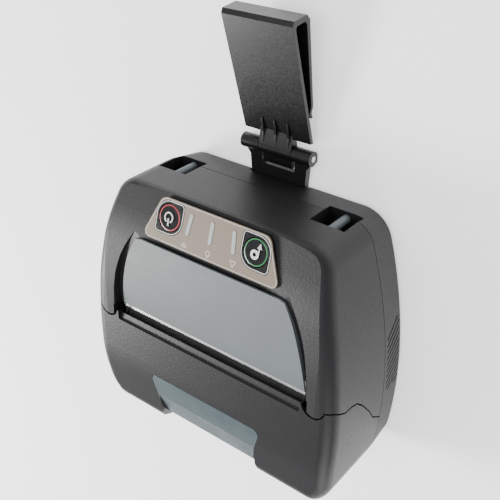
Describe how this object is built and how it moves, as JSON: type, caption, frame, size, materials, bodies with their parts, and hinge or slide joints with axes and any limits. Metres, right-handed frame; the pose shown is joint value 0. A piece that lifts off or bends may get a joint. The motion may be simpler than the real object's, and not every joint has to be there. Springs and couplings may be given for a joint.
{
  "type": "receipt printer",
  "caption": "Belt-worn mobile thermal receipt printer with a hinged paper cover, tear blade, two-button panel and a long swing-up belt clip.",
  "frame": {"origin": "centre of the flat back face that the printer lies on", "axes": "+X across the width, +Y towards the belt clip end, +Z out of the front face"},
  "size_m": [0.152, 0.2225, 0.0656],
  "materials": {
    "rear_plastic": "fine-grained moulded charcoal",
    "body_plastic": "fine-grained moulded charcoal",
    "decor_plate": "satin grey paint",
    "panel_film": "satin taupe film",
    "gloss_black": "polished black",
    "inner_plastic": "matt black",
    "circuit_board": "green solder mask",
    "light_pipe": "frosted pale grey",
    "blade_steel": "bright stamped",
    "smoky_window": "polished smoky",
    "pin_steel": "ground",
    "platen_rubber": "ground matt",
    "bearing_plastic": "natural acetal",
    "gear_plastic": "natural acetal",
    "motor_can": "zinc plated",
    "gear_brass": "machined",
    "chassis_steel": "zinc plated sheet",
    "head_ceramic": "glazed ceramic",
    "heatsink_aluminium": "extruded",
    "spring_steel": "drawn wire",
    "ribbon_film": "amber flex film",
    "shield_can": "tinned",
    "battery_plastic": "moulded",
    "contact_brass": "plated",
    "port_rubber": "matt",
    "lever_plastic": "satin light grey",
    "strap_bar_plastic": "moulded",
    "screw_steel": "black oxide",
    "clip_plastic": "smooth black"
  },
  "bodies": {
    "printer": {"battery_contacts": "contact_brass", "bracket_screws": "screw_steel", "button_switches": "inner_plastic", "clip_bracket": "clip_plastic", "clip_pin": "pin_steel", "control_board": "circuit_board", "cover_hinge_pins": "pin_steel", "dc_jack": "inner_plastic", "feed_button_plate": "gloss_black", "front_plate": "decor_plate", "head_heatsink": "heatsink_aluminium", "head_ribbon": "ribbon_film", "head_springs": "spring_steel", "housing_screws": "screw_steel", "idler_axle": "pin_steel", "led_lenses": "light_pipe", "lever_spring": "spring_steel", "motor": "motor_can", "operation_panel": "panel_film", "panel_board": "circuit_board", "paper_sensor": "inner_plastic", "port_board": "circuit_board", "power_button_plate": "gloss_black", "print_chassis": "chassis_steel", "print_head": "head_ceramic", "radio_module": "shield_can", "rear_housing": "rear_plastic", "roll_bay": "inner_plastic", "strap_bars": "strap_bar_plastic", "tear_blade": "blade_steel", "upper_housing": "body_plastic", "usb_port": "shield_can"},
    "cover": {"cover_shell": "body_plastic", "cover_window": "smoky_window", "platen_bearings": "bearing_plastic"},
    "platen": {"platen_roller": "platen_rubber", "platen_shaft": "pin_steel", "platen_gear": "gear_plastic"},
    "idler": {"idler_gear": "gear_plastic"},
    "rotor": {"motor_pinion": "gear_brass"},
    "power_key": {"power_button": "gloss_black"},
    "feed_key": {"feed_button": "gloss_black"},
    "lever": {"release_lever": "lever_plastic"},
    "latch": {"battery_latch": "battery_plastic"},
    "battery": {"battery_pack": "battery_plastic"},
    "port_flap": {"port_cover": "port_rubber"},
    "clip": {"clip_flap": "clip_plastic"}
  },
  "joints": [
    {"name": "cover_hinge", "type": "hinge", "parent": "printer", "child": "cover", "pos_m": [0, -0.0665, 0.0175], "axis": [1, 0, 0], "range_deg": [0, 95]},
    {"name": "platen_spin", "type": "hinge", "parent": "cover", "child": "platen", "pos_m": [0, -0.0115, 0.053], "axis": [1, 0, 0], "continuous": true},
    {"name": "idler_spin", "type": "hinge", "parent": "printer", "child": "idler", "pos_m": [0, -0.00452, 0.04219], "axis": [1, 0, 0], "continuous": true},
    {"name": "motor_spin", "type": "hinge", "parent": "printer", "child": "rotor", "pos_m": [0, 0.00531, 0.03647], "axis": [1, 0, 0], "continuous": true},
    {"name": "power_press", "type": "slide", "parent": "printer", "child": "power_key", "axis": [0, -0.304, -0.9527], "range_m": [0, 0.0005], "stiffness_N_per_m": 400, "springref_m": -0.0008},
    {"name": "feed_press", "type": "slide", "parent": "printer", "child": "feed_key", "axis": [0, -0.304, -0.9527], "range_m": [0, 0.0005], "stiffness_N_per_m": 400, "springref_m": -0.0008},
    {"name": "lever_slide", "type": "slide", "parent": "printer", "child": "lever", "axis": [0, -1, 0], "range_m": [0, 0.003], "stiffness_N_per_m": 300, "springref_m": -0.002, "deforming": ["lever_spring"]},
    {"name": "latch_slide", "type": "slide", "parent": "printer", "child": "latch", "axis": [0, -1, 0], "range_m": [0, 0.0022], "stiffness_N_per_m": 300, "springref_m": -0.002},
    {"name": "battery_slide", "type": "slide", "parent": "printer", "child": "battery", "axis": [0, 0, -1], "range_m": [0, 0.022]},
    {"name": "port_flap_hinge", "type": "hinge", "parent": "printer", "child": "port_flap", "pos_m": [-0.0714, 0.0348, 0.0327], "axis": [0, 0, -1], "range_deg": [0, 100]},
    {"name": "clip_hinge", "type": "hinge", "parent": "printer", "child": "clip", "pos_m": [0, 0.082, 0.0044], "axis": [1, 0, 0], "range_deg": [0, 80]}
  ],
  "couplings": [
    {"joint": "idler_spin", "follows": "platen_spin", "ratio": -0.7},
    {"joint": "motor_spin", "follows": "platen_spin", "ratio": 1.4}
  ]
}
